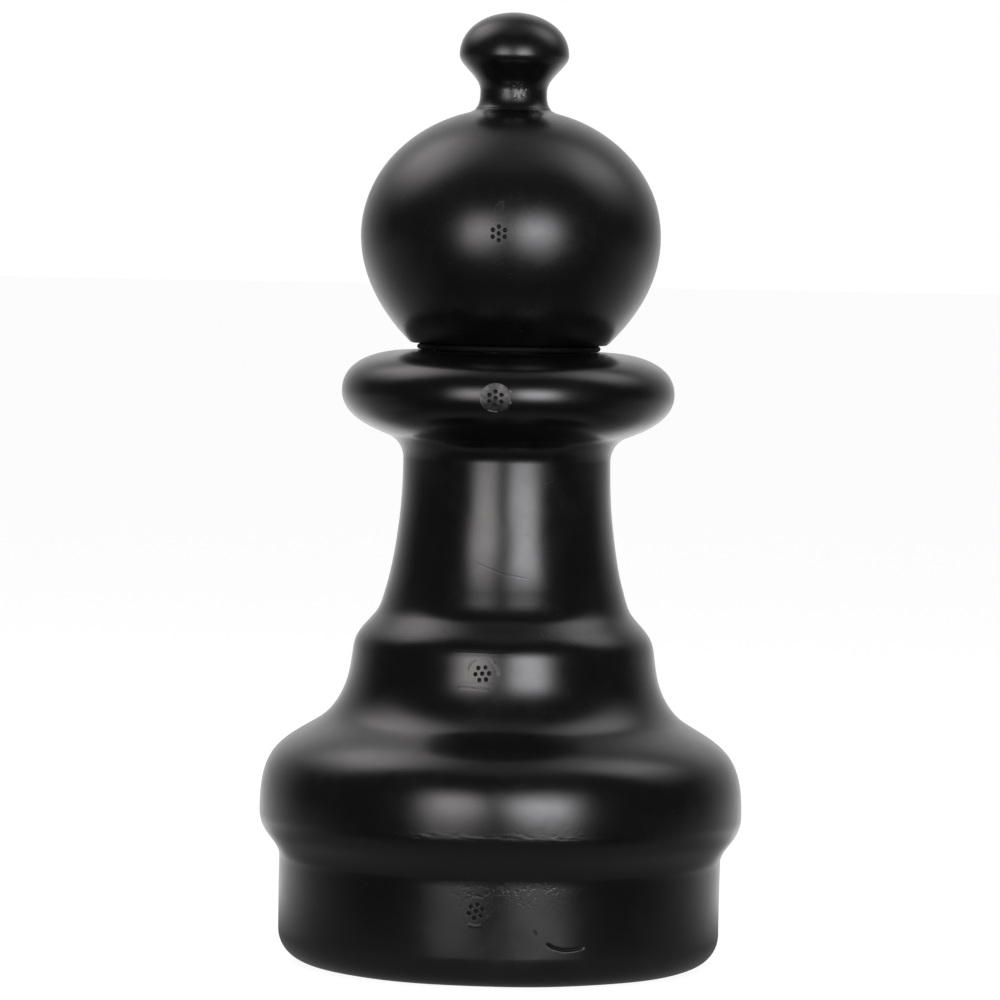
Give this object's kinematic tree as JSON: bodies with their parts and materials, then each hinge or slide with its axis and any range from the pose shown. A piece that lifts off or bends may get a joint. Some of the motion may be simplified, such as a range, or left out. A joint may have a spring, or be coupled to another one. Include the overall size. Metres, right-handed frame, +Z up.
{
  "type": "giant chess piece",
  "caption": "Hollow black plastic lawn chess piece: knob and ball head plugged into a flared collar, tapered stem, stepped bulging base and a screw-capped filler underneath.",
  "frame": {"origin": "centre of the base, on the ground that the piece stands on", "axes": "+Z up along the axis that every piece is turned about; the line of mould vent marks faces -Y, and the mould's parting plane is XZ"},
  "size_m": [0.2128, 0.2128, 0.42],
  "materials": {
    "black_hdpe": "satin",
    "black_rubber": "matte",
    "cap_polypropylene": "satin",
    "grey_foam": "matte"
  },
  "bodies": {
    "stand": {"body_shell": "black_hdpe"},
    "neck_ring": {"neck_gasket": "black_rubber"},
    "head": {"head_shell": "black_hdpe"},
    "seal": {"cap_liner": "grey_foam"},
    "cap": {"filler_cap": "cap_polypropylene"}
  },
  "joints": [
    {"name": "head_lift", "type": "slide", "parent": "stand", "child": "neck_ring", "axis": [0, 0, 1], "range_m": [0, 0.045]},
    {"name": "head_turn", "type": "hinge", "parent": "neck_ring", "child": "head", "pos_m": [0, 0, 0.274], "axis": [0, 0, 1], "continuous": true},
    {"name": "cap_travel", "type": "slide", "parent": "stand", "child": "seal", "axis": [0, 0, -1], "range_m": [0, 0.01201]},
    {"name": "cap_turn", "type": "hinge", "parent": "seal", "child": "cap", "pos_m": [0, 0, 0.002], "axis": [0, 0, -1], "range_deg": [0, 1080]}
  ],
  "couplings": [
    {"joint": "cap_travel", "follows": "cap_turn", "m_per_rad": 0.00063662}
  ]
}
